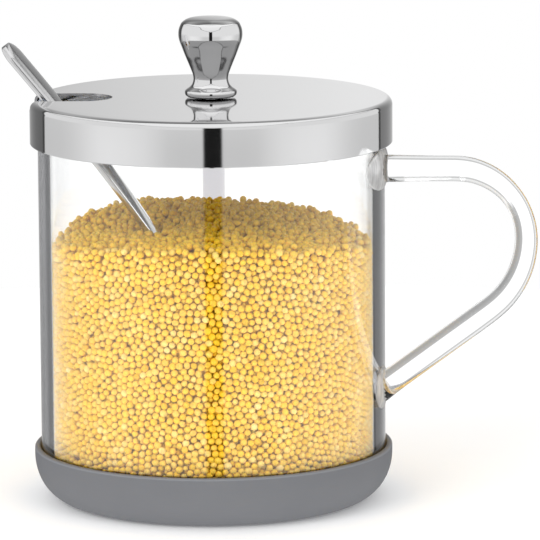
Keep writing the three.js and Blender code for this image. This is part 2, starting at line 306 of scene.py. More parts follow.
def makeCamera():
    a, e = math.radians(view["azimuth"]), math.radians(view["elevation"])
    back = Vector((math.sin(a) * math.cos(e), -math.cos(a) * math.cos(e), math.sin(e)))
    across = Vector((math.cos(a), math.sin(a), 0))
    aim = across * view["aimAcross"] + Vector((0, 0, view["aimHeight"]))
    data = bpy.data.cameras.new("camera")
    data.sensor_width = 36
    data.lens = view["lens"]
    data.clip_start = 0.01
    camera = bpy.data.objects.new("camera", data)
    turn = back.to_track_quat("Z", "Y").to_matrix().to_4x4()
    roll = Matrix.Rotation(math.radians(view["roll"]), 4, "Z")
    camera.matrix_world = Matrix.Translation(aim + back * view["distance"]) @ turn @ roll
    bpy.context.scene.collection.objects.link(camera)
    bpy.context.scene.camera = camera


studio = {
    "sky": 1.0,                   # level of the soft light from all round
    "bearing": 1.5,               # how far the mirrored studio is turned round from the camera, degrees
    "strip": 5.75,                # half width of the dark strip in front, degrees
    "gain": 1.19,                 # makes up for what steel keeps back
    "backdrop": 1.22,             # makes up for what four faces of glass keep back
    "card": math.radians(-22),    # direction in the picture of the grey card that glass rods show
    "wallTone": 0.68,
    "stripTone": 0.01,
    "lineTone": 0.1,              # of the line between walls and ceiling
    "edgeTone": 0.05,             # of the dark edge between the front and the back of the room
    "stripThrough": (0.81, 0.8, 0.84),
    "floorRadius": 300 * mm,
    "floorGlow": 0.05,            # keeps the unshadowed floor white for the camera
    "under": 1.0,                 # light that matt things get from the floor
    "lampSize": 0.7,
    "lampAim": (0, 0, 0.05),
    "keyPower": 5.0,
    "keyPlace": (-0.5, -0.9, 0.6),
    "fillPower": 2.6,
    "fillPlace": (0.8, -0.7, 0.5),
}


# World: plain soft light for matt things, a white backdrop for the camera and through glass, and for
# mirrors a bright front wall with a dark strip, a ceiling over it, a dark edge and a grey back
def makeWorld():
    world = bpy.data.worlds.new("studio")
    bpy.context.scene.world = world
    world.use_nodes = True
    tree = world.node_tree
    background = tree.nodes["Background"]
    where = add(tree, "ShaderNodeTexCoord").outputs["Generated"]

    # The ray's direction, with -Y towards the camera after the turn
    def directions(degrees):
        turn = add(tree, "ShaderNodeVectorRotate", rotation_type="Z_AXIS")
        feed(tree, turn.inputs["Vector"], where)
        feed(tree, turn.inputs["Angle"], -math.radians(degrees))
        return split(tree, turn.outputs[0])

    # Place on a ramp over the height, -1 straight down to 1 straight up, of a sine of elevation
    def level(sine):
        return 0.5 + 0.5 * sine

    # around runs from 0 at the camera to 1 behind the jar
    x, y, z = directions(view["azimuth"] + studio["bearing"])
    turn = calc(tree, "ARCTAN2", calc(tree, "ABSOLUTE", x), calc(tree, "MULTIPLY", y, -1.0))
    around = calc(tree, "DIVIDE", turn, math.pi)
    height = calc(tree, "MULTIPLY_ADD", z, 0.5, 0.5)
    strip = studio["strip"] / 180
    plain = ramp(tree, around, [
        (0, 0.55), (0.11, 0.55), (0.156, 0.57), (0.2, 0.64), (0.244, 0.7), (0.311, 0.745), (0.378, 0.76),
        (0.422, 0.75), (0.467, 0.7), (0.511, 0.64), (0.556, 0.59), (0.611, 0.555), (0.694, 0.54), (1, 0.53),
    ])
    raised = ramp(tree, height, [(0, 0), (level(-0.13), 0), (level(-0.04), 1), (1, 1)])
    wall = blendColour(tree, raised, plain, grey(studio["wallTone"]))
    dark = ramp(tree, around, [(0, 1), (strip - 0.003, 1), (strip + 0.004, 0), (1, 0)])
    wall = blendColour(tree, dark, wall, grey(studio["stripTone"]))
    # The walls end upwards in two slanting edges that meet over the strip, under a paler ceiling
    slant = ramp(tree, around, [(0, 0.37), (0.34, 0.72), (0.6, 0.6), (0.92, 0.25), (1, 0.2)])
    above = calc(tree, "MULTIPLY_ADD", calc(tree, "SUBTRACT", z, slant), 5.0, 0.5)
    ceiling = ramp(tree, height, [
        (0, 0.6), (level(0.37), 0.6), (level(0.6), 0.74), (level(0.85), 0.84), (level(0.97), 0.8), (1, 0.7)])
    front = blendColour(tree, ramp(tree, above, [(0, 0), (0.5, 0), (0.55, 1), (1, 1)]), wall, ceiling)
    line = ramp(tree, above, [(0, 0), (0.45, 0), (0.5, 1), (0.55, 1), (0.6, 0), (1, 0)])
    front = blendColour(tree, line, front, grey(studio["lineTone"]))
    # The back of the room is darker at the left, to the sides and high up
    back = ramp(tree, height, [
        (0, 0.4), (level(-0.7), 0.45), (level(-0.2), 0.62), (level(0), 0.64), (level(0.06), 0.62),
        (level(0.5), 0.62), (level(0.64), 0.5), (level(0.81), 0.33), (level(0.93), 0.2), (1, 0.16),
    ])
    tilt = ramp(tree, calc(tree, "MULTIPLY_ADD", x, 14.0, 0.4), [(0, 0.78), (1, 1.19)])
    sides = ramp(tree, calc(tree, "ABSOLUTE", x), [
        (0, 1), (0.1, 0.94), (0.16, 0.76), (0.28, 0.52), (0.41, 0.38), (0.53, 0.29), (0.64, 0.25), (1, 0.2)])
    high = ramp(tree, height, [(0, 0), (level(0.35), 0), (level(0.6), 1), (1, 1)])
    sides = blendColour(tree, high, sides, grey(0.9))
    back = blendColour(tree, 1.0, back, blendColour(tree, 1.0, tilt, sides, "MULTIPLY"), "MULTIPLY")
    limit = ramp(tree, height, [
        (0, 1), (level(-0.5), 0.93), (level(-0.17), 0.668), (level(0), 0.64), (level(0.4), 0.74),
        (level(0.65), 0.55), (level(0.9), 0.13), (1, 0.13)])
    past = calc(tree, "MULTIPLY_ADD", calc(tree, "SUBTRACT", y, limit), 5.0, 0.5)
    edge = ramp(tree, past, [(0, 0), (0.48, 0), (0.52, 1), (1, 1)])
    rear = ramp(tree, past, [(0, 0), (0.65, 0), (0.75, 1), (1, 1)])
    mirrored = blendColour(tree, rear, blendColour(tree, edge, front, grey(studio["edgeTone"])), back)
    mirrored = blendColour(tree, 1.0, mirrored, grey(studio["gain"]), "MULTIPLY")
    # Through glass: white straight on. A rod bends rays aside: those to the lower right meet a grey card,
    # the others a thin grey one, and the most bent of all the dark of the room
    x, y, z = directions(view["azimuth"])
    tilt = math.radians(view["elevation"])
    up = calc(tree, "MULTIPLY_ADD", y, math.sin(tilt), calc(tree, "MULTIPLY", z, math.cos(tilt)))
    aside = calc(tree, "SQRT", calc(tree, "MULTIPLY_ADD", x, x, calc(tree, "MULTIPLY", up, up)))
    lean = calc(tree, "MULTIPLY", up, math.sin(studio["card"]))
    toward = calc(tree, "DIVIDE", calc(tree, "MULTIPLY_ADD", x, math.cos(studio["card"]), lean), aside)
    carded = ramp(tree, calc(tree, "MULTIPLY_ADD", toward, 0.5, 0.5), [(0, 0), (0.78, 0), (0.84, 1), (1, 1)])
    card = ramp(tree, aside, [(0, 1), (0.24, 1), (0.3, 0.4), (0.62, 0.3), (0.8, 0.4), (0.86, 1), (1, 1)])
    thin = ramp(tree, aside, [
        (0, 1), (0.4, 1), (0.46, 0.72), (0.5, 0.46), (0.56, 0.46), (0.61, 0.74), (0.7, 0.76), (0.8, 0.62),
        (1, 0.5)])
    beyond = blendColour(tree, carded, thin, card)
    beyond = blendColour(tree, 1.0, beyond, grey(studio["backdrop"]), "MULTIPLY")
    # A pale lilac strip behind the cup, which only rays that have passed all its walls meet
    middle = ramp(tree, calc(tree, "MULTIPLY_ADD", x, 60.0, 1.11), [
        (0, 0), (0.18, 0), (0.21, 1), (0.79, 1), (0.82, 0), (1, 0)])
    middle = calc(tree, "MULTIPLY", middle, ramp(tree, aside, [(0, 1), (0.1, 1), (0.12, 0), (1, 0)]))
    path = add(tree, "ShaderNodeLightPath").outputs
    middle = calc(tree, "MULTIPLY", middle, calc(tree, "GREATER_THAN", path["Transmission Depth"], 3.0))
    beyond = blendColour(tree, middle, beyond, studio["stripThrough"])
    behind = ramp(tree, calc(tree, "MULTIPLY_ADD", y, 0.5, 0.5), [
        (0, 0), (level(-0.3), 0), (level(-0.2), 1), (1, 1)])
    through = blendColour(tree, behind, mirrored, beyond)
    colour = blendColour(tree, path["Is Glossy Ray"], grey(studio["sky"]), mirrored)
    colour = blendColour(tree, path["Is Transmission Ray"], colour, through)
    colour = blendColour(tree, path["Is Camera Ray"], colour, grey(1))
    feed(tree, background.inputs["Color"], colour)


def makeLamp(name, power, where):
    data = bpy.data.lights.new(name, "AREA")
    data.energy = power
    data.size = studio["lampSize"]
    lamp = bpy.data.objects.new(name, data)
    lamp.location = where
    lamp.rotation_euler = (Vector(where) - Vector(studio["lampAim"])).to_track_quat("Z", "Y").to_euler()
    lamp.visible_glossy = False
    lamp.visible_camera = False
    bpy.context.scene.collection.objects.link(lamp)


def makeFloor():
    material, tree, shader = newMaterial("paleFloor", roughness=0.9, specularIorLevel=0.1)
    cloud = noise(tree, objectPlace(tree), 40)
    feed(tree, shader.inputs["Base Color"], ramp(tree, cloud, [(0, 0.93), (1, 0.95)]))
    t = np.linspace(0, 2 * math.pi, 96, endpoint=False)
    edge = np.stack([np.cos(t), np.sin(t), 0 * t], 1) * studio["floorRadius"]
    path = add(tree, "ShaderNodeLightPath").outputs
    shader.inputs["Emission Color"].default_value = (1, 1, 1, 1)
    glow = calc(tree, "MULTIPLY", path["Is Camera Ray"], studio["floorGlow"])
    glow = calc(tree, "MULTIPLY_ADD", path["Is Diffuse Ray"], studio["under"], glow)
    feed(tree, shader.inputs["Emission Strength"], glow)
    floor = meshFrom("floor", edge, [list(range(len(t)))], smooth=False)
    floor.data.materials.append(material)
    floor.visible_glossy = False
    floor.visible_transmission = False


makeCamera()
makeWorld()
makeFloor()
makeLamp("frontLeft", studio["keyPower"], studio["keyPlace"])
makeLamp("frontRight", studio["fillPower"], studio["fillPlace"])
bpy.context.scene.view_settings.view_transform = "Standard"
print("camera and studio made")


# Shared shader effects

# Fine random scuffs: stretched noise along one axis gives a mask that lifts the roughness and a faint height
def makeScuffs():
    group, given, result = newGroup(
        "fineScuffs",
        [("Place", "NodeSocketVector", None), ("Scale", "NodeSocketFloat", 900.0),
         ("Base", "NodeSocketFloat", 0.1), ("Amount", "NodeSocketFloat", 0.05)],
        [("Roughness", "NodeSocketFloat"), ("Height", "NodeSocketFloat")])
    fine = noise(group, stretched(group, given["Place"], (1.0, 0.12, 1.0)), given["Scale"], 4, 0.6)
    broad = noise(group, given["Place"], calc(group, "MULTIPLY", given["Scale"], 0.06), 2)
    both = calc(group, "MULTIPLY", fine, broad)
    feed(group, result["Roughness"], calc(group, "MULTIPLY_ADD", both, given["Amount"], given["Base"]))
    feed(group, result["Height"], fine)
    return group


# Soft mottling: two octaves of broad noise, for rubber skins
def makeMottle():
    group, given, result = newGroup(
        "softMottle",
        [("Place", "NodeSocketVector", None), ("Scale", "NodeSocketFloat", 60.0)],
        [("Mask", "NodeSocketFloat"), ("Height", "NodeSocketFloat")])
    feed(group, result["Mask"], noise(group, given["Place"], given["Scale"], 3))
    grit = noise(group, given["Place"], calc(group, "MULTIPLY", given["Scale"], 45.0), 2)
    feed(group, result["Height"], grit)
    return group


scuffs = makeScuffs()
mottle = makeMottle()


# Steel. Where another mirror shows the lid, the lid's colour is painted darker, a painted reflection of the
# unlit room that it mirrors there, and the knob's flanks are painted darker in a band, a painted reflection
# of the same room
def steelMaterial(name, colour, base, amount, strength, shadeInMirrors=1.0, shadedFlanks=False):
    material, tree, shader = newMaterial(name, metallic=1.0, roughness=base)
    where = objectPlace(tree)
    marks = useGroup(tree, scuffs, Place=where, Base=base, Amount=amount)
    feed(tree, shader.inputs["Roughness"], marks["Roughness"])
    feed(tree, shader.inputs["Normal"], bump(tree, marks["Height"], strength, 0.02 * mm))
    cloud = noise(tree, where, 55.0, 2)
    tone = blendColour(tree, cloud, tuple(0.97 * c for c in colour), colour)
    if shadeInMirrors < 1:
        # Painted reflection: seen in another mirror, the colour is painted darker by this share
        second = add(tree, "ShaderNodeLightPath").outputs["Is Glossy Ray"]
        tone = blendColour(tree, second, tone, blendColour(tree, 1.0, tone, grey(shadeInMirrors), "MULTIPLY"))
    if shadedFlanks:
        # Painted reflection: as the flanks turn away from the view, their colour is painted darker in a band
        facing = add(tree, "ShaderNodeLayerWeight").outputs["Facing"]
        paintedFlankShade = ramp(tree, facing, [
            (0, 1), (0.52, 1), (0.6, 0.5), (0.68, 0.38), (0.77, 0.5), (0.86, 0.54), (1, 0.85)])
        tone = blendColour(tree, 1.0, tone, paintedFlankShade, "MULTIPLY")
    feed(tree, shader.inputs["Base Color"], tone)
    return material


# Silicone. A rim, given as its height and depth, is painted paler: a painted highlight along the lip
def rubberMaterial(name, dark, light, roughness, strength, rim=None, **values):
    material, tree, shader = newMaterial(name, roughness=roughness, **values)
    marks = useGroup(tree, mottle, Place=objectPlace(tree))
    tone = blendColour(tree, marks["Mask"], dark, light)
    if rim:
        top, depth = rim
        share = calc(tree, "MULTIPLY_ADD", split(tree, objectPlace(tree))[2], 1 / depth, 1 - top / depth)
        # Painted highlight: the lip of the rim is painted paler
        rimHighlight = tuple(1.35 * c for c in light)
        tone = blendColour(tree, ramp(tree, share, [(0, 0), (0.2, 1), (1, 1)]), tone, rimHighlight)
    feed(tree, shader.inputs["Base Color"], tone)
    feed(tree, shader.inputs["Normal"], bump(tree, marks["Height"], strength, 0.05 * mm))
    return material


# Glass: cup, handle and pads welded into one solid

cup = {
    "wall": 2.86 * mm,
    "corner": 7.6 * mm,
    "innerCorner": 4.5 * mm,
    "floor": 4 * mm,
    "skin": 0.06 * mm,            # faces no further than this from the radius are the outer wall
}
handle = {
    "thickness": 6.4 * mm,
    "barHeight": 80.5 * mm,       # above the underside of the cup
    "barDip": 0.5 * mm,
    "reach": 35.54 * mm,          # from the wall to the rod's furthest centre
    "upperBend": 16.6 * mm,
    "lowerBend": 22 * mm,
    "diagonal": 37.1,
    "upperPad": (23.6 * mm, 10.2 * mm, 1.1 * mm),
    "lowerPad": (12.5 * mm, 10.4 * mm, 1.0 * mm),
    "padFrom": 0.012 * mm,        # faces are streaked from this far off the wall to the pad's height
    "padOver": 0.05 * mm,         # and this much more
    "sides": 48,
    "steps": 160,
    "ease": 5,                    # places on each side over which the bends are eased
}
# [share of the way along the rod, share of its thickness]
rodShares = np.array([
    [0, 1.07], [0.06, 1.01], [0.12, 0.975], [0.2, 0.975], [0.27, 0.91], [0.34, 0.82], [0.4, 0.82],
    [0.46, 0.86], [0.52, 0.89], [0.6, 0.93], [0.7, 0.98], [0.95, 0.98], [1, 1.05],
])
boreRadius = glassRadius - cup["wall"]
floorZ = cupZ + cup["floor"]


# Points between the two ends of an upright line
def upright(r, start, end, count=24):
    return np.stack([np.full(count, r), np.linspace(start, end, count + 2)[1:-1]], 1)


def cupShell():
    rim = cup["wall"] / 2
    corner, inner = cup["corner"], cup["innerCorner"]
    profile = np.vstack([
        [0, cupZ], [0.6 * glassRadius, cupZ],
        arc(glassRadius - corner, cupZ + corner, corner, -90, 0, 20),
        upright(glassRadius, cupZ + corner, rimZ - rim),
        arc(glassRadius - rim, rimZ - rim, rim, 0, 180, 20),
        upright(boreRadius, rimZ - rim, floorZ + inner),
        arc(boreRadius - inner, floorZ + inner, inner, 0, -90, 16),
        [0.6 * boreRadius, floorZ], [0, floorZ],
    ])
    return turned("jarGlass", profile, 256)


# The rod's centre line lies in the XZ plane: bar, two arcs and a straight run back into the wall
def rodLine():
    barZ = cupZ + handle["barHeight"]
    furthest = glassRadius + handle["reach"]
    sideZ = barZ - handle["upperBend"]
    upper = arc(furthest - handle["upperBend"], sideZ, handle["upperBend"], 90, 0, 12)
    lower = arc(furthest - handle["lowerBend"], sideZ, handle["lowerBend"], 0, handle["diagonal"] - 90, 6)[1:]
    rootX = boreRadius + cup["wall"] / 2
    drop = math.tan(math.radians(handle["diagonal"]))
    leave = lower[-1]
    halfway = [(leave[0] + rootX) / 2, leave[1] - drop * (leave[0] - rootX) / 2]
    root = [rootX, leave[1] - drop * (leave[0] - rootX)]
    return smoothCurve(np.vstack([[rootX, barZ - handle["barDip"]], upper, lower, halfway, root]), 12)


# Circles of the rod's radius round its centre line: c + r (n cos v + y sin v), n across the line in its plane
def handleRod():
    line = evenly(rodLine(), handle["steps"])
    ease, index = handle["ease"], np.arange(len(line))
    rows = np.clip(index[:, None] + np.arange(2 * ease + 1) - ease, 0, len(line) - 1)
    share = np.minimum(1, np.minimum(index, index[::-1]) / ease)[:, None]
    line = line * (1 - share) + line[rows].mean(1) * share
    along = np.gradient(line, axis=0)
    along /= np.linalg.norm(along, axis=1, keepdims=True)
    radius = handle["thickness"] / 2 * np.interp(np.linspace(0, 1, len(line)), *rodShares.T)
    v = np.linspace(0, 2 * math.pi, handle["sides"], endpoint=False)
    x = line[:, :1] - along[:, 1:] * radius[:, None] * np.cos(v)
    z = line[:, 1:] + along[:, :1] * radius[:, None] * np.cos(v)
    y = radius[:, None] * np.sin(v) + 0 * x
    return lofted("rod", np.stack([x, y, z], 2))


# A flattened oval wrapped on the wall: (r cos(y/R), r sin(y/R), z) with r = R + bulge cos a cos b
def wallPad(size, z):
    width, height, bulge = size
    a = np.linspace(-math.pi / 2, math.pi / 2, 25)[1:-1, None]
    b = np.linspace(0, 2 * math.pi, 48, endpoint=False)[None, :]
    radius = glassRadius + bulge * np.cos(a) * np.cos(b)
    turn = width / 2 * np.cos(a) * np.sin(b) / glassRadius
    up = z + height / 2 * np.sin(a) + 0 * b
    return lofted("pad", np.stack([radius * np.cos(turn), radius * np.sin(turn), up], 2))


# Clear glass. Seen edge on, the wall's colour is painted grey, a painted reflection of the side cards, as
# thick glass shows, and a dark line is painted where it enters the foot, a painted contact shadow. The sheen
# of the lamps lies on its lower half. Where the handle was pressed on, the skin is duller and streaked
def glassMaterial(name, edge=False, pressed=False):
    material, tree, shader = newMaterial(name, baseColor=(0.985, 0.99, 0.99), roughness=0.0, ior=1.47,
                                         transmissionWeight=1.0)
    if pressed:
        grooves = noise(tree, stretched(tree, objectPlace(tree), (1, 1, 0.15)), 900.0, 3)
        feed(tree, shader.inputs["Normal"], bump(tree, grooves, 0.5, 0.1 * mm))
        feed(tree, shader.inputs["Base Color"], ramp(tree, grooves, [
            (0, 0.36), (0.4, 0.46), (0.55, 0.66), (1, 0.74)]))
        shader.inputs["Roughness"].default_value = 0.4
        shader.inputs["Transmission Weight"].default_value = 0.6
    # Shadows and matt things take hardly any notice of the glass
    path = add(tree, "ShaderNodeLightPath").outputs
    soft = calc(tree, "MAXIMUM", path["Is Shadow Ray"], path["Is Diffuse Ray"])
    feed(tree, shader.inputs["Alpha"], calc(tree, "MULTIPLY_ADD", soft, -0.94, 1.0))
    if edge:
        facing = add(tree, "ShaderNodeLayerWeight").outputs["Facing"]
        grooves = noise(tree, stretched(tree, objectPlace(tree), (1, 1, 0.04)), 500.0, 2)
        streak = calc(tree, "MULTIPLY_ADD", grooves, 0.01, -0.005)
        # Painted reflection: at grazing angles the wall's colour is painted grey
        paintedEdgeGrey = ramp(tree, calc(tree, "ADD", facing, streak), [
            (0, (0.985, 0.99, 0.99)), (0.63, (0.975, 0.98, 0.98)), (0.645, (0.14, 0.142, 0.15)),
            (0.75, (0.13, 0.132, 0.14)), (1, (0.14, 0.14, 0.15))])
        rise = calc(tree, "DIVIDE", split(tree, objectPlace(tree))[2], rimZ)
        entry = footHigh.z / rimZ
        # Painted shadow: a dark line is painted on the wall just above where it enters the foot
        paintedFootShadow = ramp(tree, rise, [(0, 0.06), (entry + 0.002, 0.06), (entry + 0.006, 1), (1, 1)])
        feed(tree, shader.inputs["Base Color"], blendColour(tree, 1.0, paintedEdgeGrey, paintedFootShadow, "MULTIPLY"))
        sheen = ramp(tree, rise, [(0, 1), (0.6, 1), (0.68, 0.5), (1, 0.5)])
        feed(tree, shader.inputs["Coat Weight"], calc(tree, "MULTIPLY", path["Is Camera Ray"], sheen))
        shader.inputs["Coat IOR"].default_value = 1.7
    return material


def makeGlass():
    line = rodLine()
    rise = cup["wall"] / 2 * math.tan(math.radians(handle["diagonal"]))
    glass = cupShell()
    boolean(glass, handleRod(), "UNION")
    boolean(glass, wallPad(handle["upperPad"], line[0][1]), "UNION")
    boolean(glass, wallPad(handle["lowerPad"], line[-1][1] + rise), "UNION")
    crease(glass, 40)
    finishes = [
        glassMaterial("clearGlass"),
        glassMaterial("cupWallGlass", edge=True),
        glassMaterial("pressedGlass", pressed=True),
    ]
    place(glass, "jar", "clear_glass", finishes, "glass_body", "glass_handle")
    radius, centre = faceCentres(glass)
    past = radius - glassRadius
    padTo = handle["upperPad"][2] + handle["padOver"]
    pressed = (past > handle["padFrom"]) & (past < padTo) & (centre[:, 0] > 0)
    outerWall = np.abs(past) < cup["skin"]
    glass.data.polygons.foreach_set("material_index", np.where(pressed, 2, outerWall).astype(np.int32))


makeGlass()
print("glass made")


# Silicone foot

foot = {
    "floor": 2 * mm,
    "cornerWidth": 9.1 * mm,
    "cornerHeight": 11.2 * mm,
    "lip": 0.55 * mm,
    "edge": 0.15 * mm,
}


def makeFoot():
    outer, top = footHigh.y, footHigh.z
    inner = glassRadius + clearance
    lip, edge = foot["lip"], foot["edge"]
    hollow = cup["corner"] + clearance
    width, height = foot["cornerWidth"], foot["cornerHeight"]
    profile = np.vstack([
        [0, 0], [0.5 * (outer - width), 0],
        arc(0, 0, 1, -90, 0, 28) * [width, height] + [outer - width, height],
        arc(outer - lip, top - lip, lip, 0, 90, 8),
        [inner + edge, top], [inner, top - edge],
        arc(inner - hollow, foot["floor"] + hollow, hollow, 0, -90, 20),
        [0, foot["floor"]],
    ])
    silicone = rubberMaterial("greySilicone", (0.104, 0.107, 0.116), (0.12, 0.123, 0.132), 0.62, 0.12,
                              rim=(top, lip), specularIorLevel=0.35)
    place(turned("siliconeFoot", profile, 192), "jar", "grey_silicone", [silicone], "silicone_base")


makeFoot()
print("foot made")


# Lid: pressed shell with its notch, and the knob

lid = {
    "sheet": 0.6 * mm,
    "depth": 10.85 * mm,
    "corner": 1.8 * mm,
    "edge": (0.15 * mm, 0.2 * mm),  # width and height of the bevels on the end of the skirt
    "hole": 2.3 * mm,
    "skin": 0.1 * mm,             # faces deeper in the sheet than this are left dull
    "notchWidth": 14 * mm,
    "notchEnd": 24 * mm,          # from the axis to the notch's inner end
    "notchSill": 2.8 * mm,
    "bearing": 190.0,             # of the notch and the spoon, degrees round from +X
}
# [share of the knob's radius, share of its height]
knobShares = [
    [0.74, 0], [0.795, 0.02], [0.812, 0.05], [0.8, 0.072], [0.74, 0.094], [0.655, 0.118],
    [0.593, 0.146], [0.56, 0.178], [0.54, 0.222], [0.558, 0.274], [0.602, 0.326], [0.705, 0.428],
    [0.81, 0.53], [0.907, 0.633], [0.956, 0.684], [0.99, 0.735], [1, 0.783], [0.99, 0.837],
    [0.949, 0.888], [0.875, 0.936], [0.69, 0.978], [0.41, 0.994], [0, 1],
]
lidSteel = steelMaterial("lidSteel", (0.84, 0.84, 0.845), 0.045, 0.05, 0.02, shadeInMirrors=0.45)
knobSteel = steelMaterial("knobSteel", (0.9, 0.9, 0.905), 0.03, 0.04, 0.01, shadedFlanks=True)
spoonSteel = steelMaterial("spoonSteel", (0.8, 0.8, 0.805), 0.1, 0.08, 0.03)
plainSteel = steelMaterial("plainSteel", (0.62, 0.62, 0.63), 0.25, 0.2, 0.1)


# A U-shaped prism: half circle at its inner end, open past the edge of the lid
def notchPrism(bottom, top):
    half = lid["notchWidth"] / 2
    end = arc(-(lid["notchEnd"] + half), 0, half, -90, 90, 24)
    paintedFlankShade = np.vstack([[-1.2 * lidHigh.y, -half], end, [-1.2 * lidHigh.y, half]])
    turn = math.radians(lid["bearing"] - 180)
    x = paintedFlankShade[:, 0] * math.cos(turn) - paintedFlankShade[:, 1] * math.sin(turn)
    y = paintedFlankShade[:, 0] * math.sin(turn) + paintedFlankShade[:, 1] * math.cos(turn)
    count = len(paintedFlankShade)
    points = np.vstack([np.stack([x, y, 0 * x + z], 1) for z in (bottom, top)])
    faces = gridFaces(2, count) + [list(range(count)), list(range(2 * count - 1, count - 1, -1))]
    return outward(meshFrom("notch", points, faces))


def makeLid():
    radius, top, sheet = lidHigh.y, lidHigh.z, lid["sheet"]
    corner, skirt = lid["corner"], lidHigh.z - lid["depth"]
    inner, (edgeWidth, edgeHeight) = radius - sheet, lid["edge"]
    inward = np.linspace(radius - corner, lid["hole"], 12)
    profile = np.vstack([
        np.stack([inward[::-1], np.full(12, top)], 1)[:-1],
        arc(radius - corner, top - corner, corner, 90, 0, 20),
        [radius, skirt + sheet], [radius, skirt + edgeHeight], [radius - edgeWidth, skirt],
        [inner + edgeWidth, skirt], [inner, skirt + edgeHeight], [inner, skirt + sheet],
        arc(radius - corner, top - corner, corner - sheet, 0, 90, 14),
        np.stack([inward, np.full(12, top - sheet)], 1)[1:],
    ])
    shell = turned("lidShell", profile, 256, ring=True)
    boolean(shell, notchPrism(top - lid["notchSill"], top + corner), "DIFFERENCE")
    crease(shell, 30)
    place(shell, "lid", "mirror_steel", [lidSteel, plainSteel], "lid_shell")
    # The underside and the cut edges are left dull: faces that lie deeper than the outer skin
    r, centre = faceCentres(shell)
    out, up = r - (radius - corner), centre[:, 2] - (top - corner)
    depth = np.minimum(radius - r, top - centre[:, 2])
    depth = np.where((out > 0) & (up > 0), corner - np.hypot(out, up), depth)
    shell.data.polygons.foreach_set("material_index", (depth > lid["skin"]).astype(np.int32))


def makeKnob():
    height = knobHigh.z - knobLow.z
    profile = smoothCurve([[r * knobHigh.y, knobLow.z + h * height] for r, h in knobShares], 6)
    profile[-1, 0] = 0
    knob = turned("lidKnob", np.vstack([[0, knobLow.z], profile]), 128)
    place(knob, "lid", "mirror_steel", [knobSteel], "lid_knob")


makeLid()
makeKnob()
clearSilicone = rubberMaterial("clearSilicone", (0.32, 0.36, 0.43), (0.37, 0.41, 0.48), 0.45, 0.1)
for name, finish in (("lid_seal", clearSilicone), ("knob_washer", plainSteel), ("knob_screw", plainSteel)):
    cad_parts[name].data.materials.clear()
    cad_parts[name].data.materials.append(finish)
print("lid made")


# Spoon

spoon = {
    "length": 128.24 * mm, "thickness": 1.65 * mm, "bowlLength": 36 * mm, "bowlWidth": 23 * mm,
    "bowlDepth": 5.5 * mm, "neck": 4.6 * mm, "grip": 8.1 * mm, "crown": 0.35 * mm, "arch": 2.2 * mm,
    "tipReach": 24.6 * mm, "roll": 12.0, "widestShare": 0.45, "neckShare": 0.12,
}


def smoothStep(value, low, high):
    t = np.clip((value - low) / (high - low), 0, 1)
    return t * t * (3 - 2 * t)


# Width along the spoon: half an ellipse to the widest place, an S down to the neck, an S up to the grip,
# and half an ellipse at the end
def spoonWidth(s):
    bowl, length = spoon["bowlLength"], spoon["length"]
    widest, gripEnd = bowl * spoon["widestShare"], length - spoon["grip"] / 2
    tip = spoon["bowlWidth"] * np.sqrt(np.clip(1 - ((widest - s) / widest) ** 2, 0, 1))
    fall = spoon["bowlWidth"] + (spoon["neck"] - spoon["bowlWidth"]) * smoothStep(s, widest, bowl)
    spread = smoothStep(s, bowl + length * spoon["neckShare"], gripEnd)
    past = np.clip((s - gripEnd) / (length - gripEnd), 0, 1)
    grip = (spoon["neck"] + (spoon["grip"] - spoon["neck"]) * spread) * np.sqrt(1 - past ** 2)
    return np.where(s < widest, tip, np.where(s < bowl, fall, grip))


# Depth of the bowl along its middle
def spoonSink(s):
    bowl = spoon["bowlLength"]
    return np.where(s < bowl, spoon["bowlDepth"] * np.sin(math.pi * s / bowl), 0)


# The handle's bend, half a sine wave
def spoonRise(s):
    share = np.clip((s - spoon["bowlLength"]) / (spoon["length"] - spoon["bowlLength"]), 0, 1)
    return spoon["arch"] * np.sin(math.pi * share)


# The spoon leans from its tip on the glass floor to the inner edge of the rim
def spoonMatrix():
    roll, half = math.radians(spoon["roll"]), spoon["thickness"] / 2
    tip = np.array([-spoon["tipReach"], floorZ + clearance + half])
    rim = np.array([glassRadius - cup["wall"] / 2, rimZ - cup["wall"] / 2])
    span = np.linalg.norm(rim - tip)
    under = half + spoon["grip"] / 2 * math.sin(roll) - float(spoonRise(span))
    stand = cup["wall"] / 2 + clearance + under
    lean = math.atan2(rim[0] - tip[0], rim[1] - tip[1]) - math.asin(stand / span)
    return (Matrix.Rotation(math.radians(lid["bearing"]), 4, "Z") @ Matrix.Translation((tip[0], 0, tip[1]))
            @ Matrix.Rotation(lean, 4, "Y") @ Matrix.Rotation(math.pi - roll, 4, "Z"))


